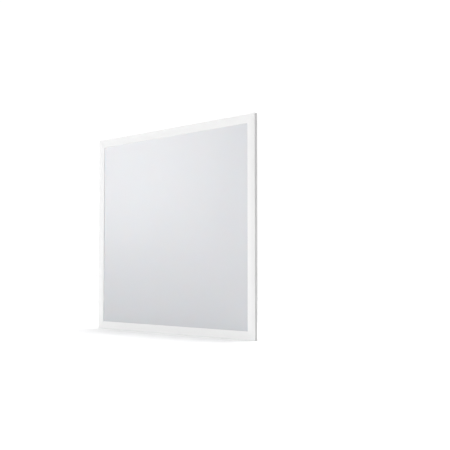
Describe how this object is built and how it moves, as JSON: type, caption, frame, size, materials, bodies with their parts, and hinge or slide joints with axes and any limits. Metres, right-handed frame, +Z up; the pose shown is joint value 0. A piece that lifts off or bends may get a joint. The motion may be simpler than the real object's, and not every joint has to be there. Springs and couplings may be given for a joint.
{
  "type": "led panel light",
  "caption": "Thin square back-lit panel light: white mitred frame, opal front plate, pressed rear cover with a raised lattice.",
  "frame": {"origin": "middle of the panel's width and depth, on the line of its bottom edge", "axes": "+Z up along the panel's height, +Y towards its rear cover, -Y the way the light leaves"},
  "size_m": [0.595, 0.035, 0.595],
  "materials": {
    "frame_paint": "satin white powder coat",
    "key_metal": "bare die casting",
    "diffuser": "opal, very fine matt",
    "gasket_foam": "closed cell foam",
    "cover_paint": "satin white powder coat",
    "reflector_film": "matt white film",
    "board": "white solder mask",
    "tape": "bonding tape",
    "emitter": "phosphor in a white package",
    "lens": "clear moulded lens",
    "connector": "moulded nylon",
    "wire_plus": "red wire insulation",
    "wire_minus": "black wire insulation",
    "bush": "white nylon"
  },
  "bodies": {
    "root": {"frame_bottom": "frame_paint", "frame_left": "frame_paint", "frame_top": "frame_paint", "frame_right": "frame_paint", "key_bottom_left": "key_metal", "key_top_left": "key_metal", "key_top_right": "key_metal", "key_bottom_right": "key_metal", "diffuser_plate": "diffuser", "edge_gasket": "gasket_foam", "rear_cover": "cover_paint", "reflector": "reflector_film", "light_strip_1": "board", "light_strip_2": "board", "light_strip_3": "board", "light_strip_4": "board", "light_strip_5": "board", "light_strip_6": "board", "bonding_tapes": "tape", "emitters": "emitter", "dome_lenses": "lens", "wire_connectors": "connector", "link_wires_plus": "wire_plus", "link_wires_minus": "wire_minus", "supply_lead_plus": "wire_plus", "supply_lead_minus": "wire_minus", "inlet_bush": "bush"}
  },
  "joints": []
}
